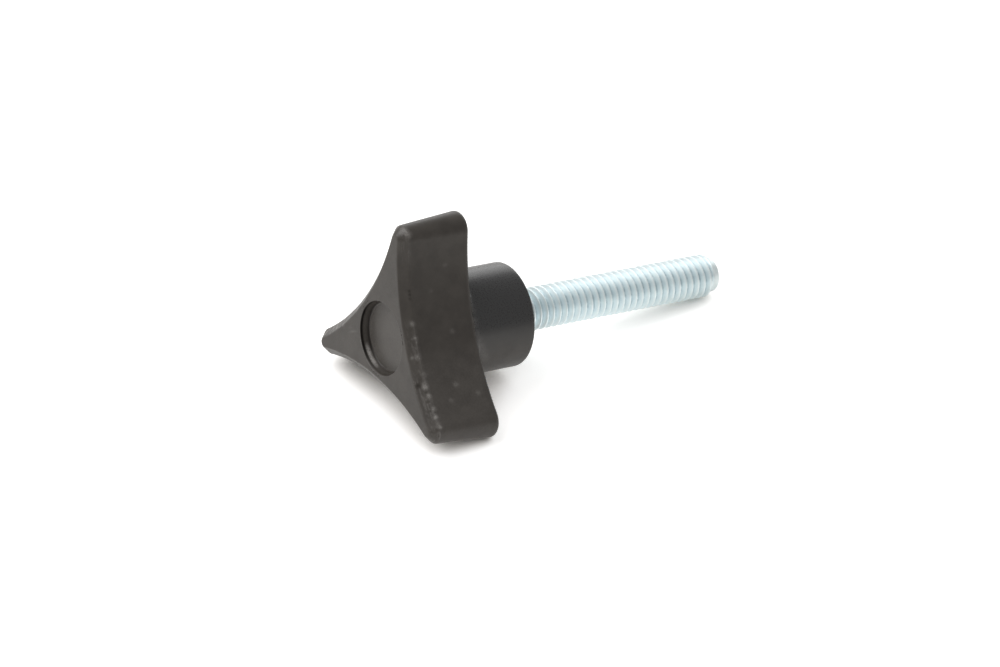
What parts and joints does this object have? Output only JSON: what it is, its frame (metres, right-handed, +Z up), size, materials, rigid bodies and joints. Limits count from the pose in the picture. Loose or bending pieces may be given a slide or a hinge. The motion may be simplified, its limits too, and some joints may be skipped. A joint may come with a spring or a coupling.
{
  "type": "three-prong clamping knob with threaded stud",
  "caption": "Three-prong moulded plastic clamping knob with a round hub and a moulded-in, fully threaded steel stud.",
  "frame": {"origin": "centre of the hub's flat end (the shoulder that seats on the work), on the stud's axis", "axes": "The knob lies as it rests on a bench, on the back edges of two prongs and the rim of the stud's end: +Z is up, and the stud points along +X and down by 9.02 degrees, with the third prong up; the bench is at z = -10.85 mm"},
  "size_m": [0.074, 0.041, 0.0369],
  "materials": {
    "head_plastic": "fine matt moulded grain, charcoal, with light scuffs along the front bevel",
    "zinc_steel": "bright zinc plate"
  },
  "bodies": {
    "root": {"knob_head": "head_plastic", "threaded_stud": "zinc_steel"}
  },
  "joints": []
}
